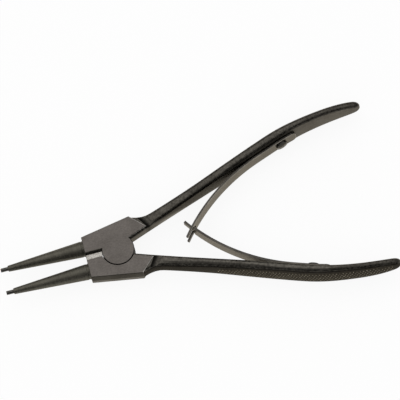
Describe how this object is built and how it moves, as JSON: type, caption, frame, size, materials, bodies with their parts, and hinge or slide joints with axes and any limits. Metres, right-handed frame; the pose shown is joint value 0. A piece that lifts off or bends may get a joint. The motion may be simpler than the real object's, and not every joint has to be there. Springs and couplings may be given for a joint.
{
  "type": "circlip pliers",
  "caption": "Straight circlip pliers for external rings, with round tapered jaws, stepped pin tips, a lapped rivet joint, flat bowed handles and crossed leaf springs.",
  "frame": {"origin": "on the pivot axis, at the back face of the lapped joint", "axes": "+X along the tool from the jaws to the handles, +Y towards the upper lever, +Z along the pivot from the back face to the front"},
  "size_m": [0.1753, 0.0818, 0.0134],
  "materials": {
    "blackened_forging": "black phosphated forging, matt",
    "ground_steel": "ground flush with the joint, satin",
    "tip_steel": "hardened, dark satin",
    "spring_steel": "rolled spring steel, satin",
    "blackened_screw": "black oxide, half matt"
  },
  "bodies": {
    "lower_lever": {"lower_half": "blackened_forging", "lower_tip": "tip_steel", "pivot_rivet": "ground_steel", "lower_spring": "spring_steel", "lower_spring_screw": "blackened_screw"},
    "upper_lever": {"upper_half": "blackened_forging", "upper_tip": "tip_steel", "upper_spring": "spring_steel", "upper_spring_screw": "blackened_screw"}
  },
  "joints": [
    {"name": "pivot", "type": "hinge", "parent": "lower_lever", "child": "upper_lever", "pos_m": [0, 0, 0], "axis": [0, 0, -1], "range_deg": [-9, 22], "stiffness_Nm_per_rad": 2.6, "deforming": ["upper_spring", "lower_spring"]}
  ]
}
